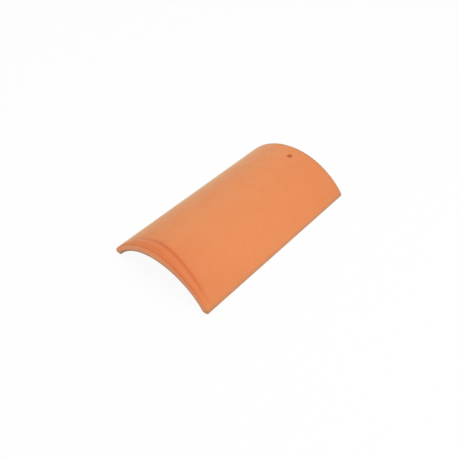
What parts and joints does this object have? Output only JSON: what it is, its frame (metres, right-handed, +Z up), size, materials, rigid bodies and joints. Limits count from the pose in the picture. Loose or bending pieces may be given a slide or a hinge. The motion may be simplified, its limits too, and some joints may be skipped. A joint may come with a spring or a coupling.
{
  "type": "clay roof tile",
  "caption": "Fired clay barrel roof tile: a segment of a round arch with a low rounded roll at its lower end and a nail hole in the crown near its upper end, to cover a ridge or roof course.",
  "frame": {"origin": "centre of the tile's footprint, on the floor that its two feet stand on", "axes": "+Y along the tile from the lower end with the collar to the upper end with the nail hole, +Z up through the crown, +X across the arch"},
  "size_m": [0.2272, 0.4, 0.068],
  "materials": {
    "fired_clay": "unglazed, smooth, matt orange terracotta"
  },
  "bodies": {
    "root": {"roof_tile": "fired_clay"}
  },
  "joints": []
}
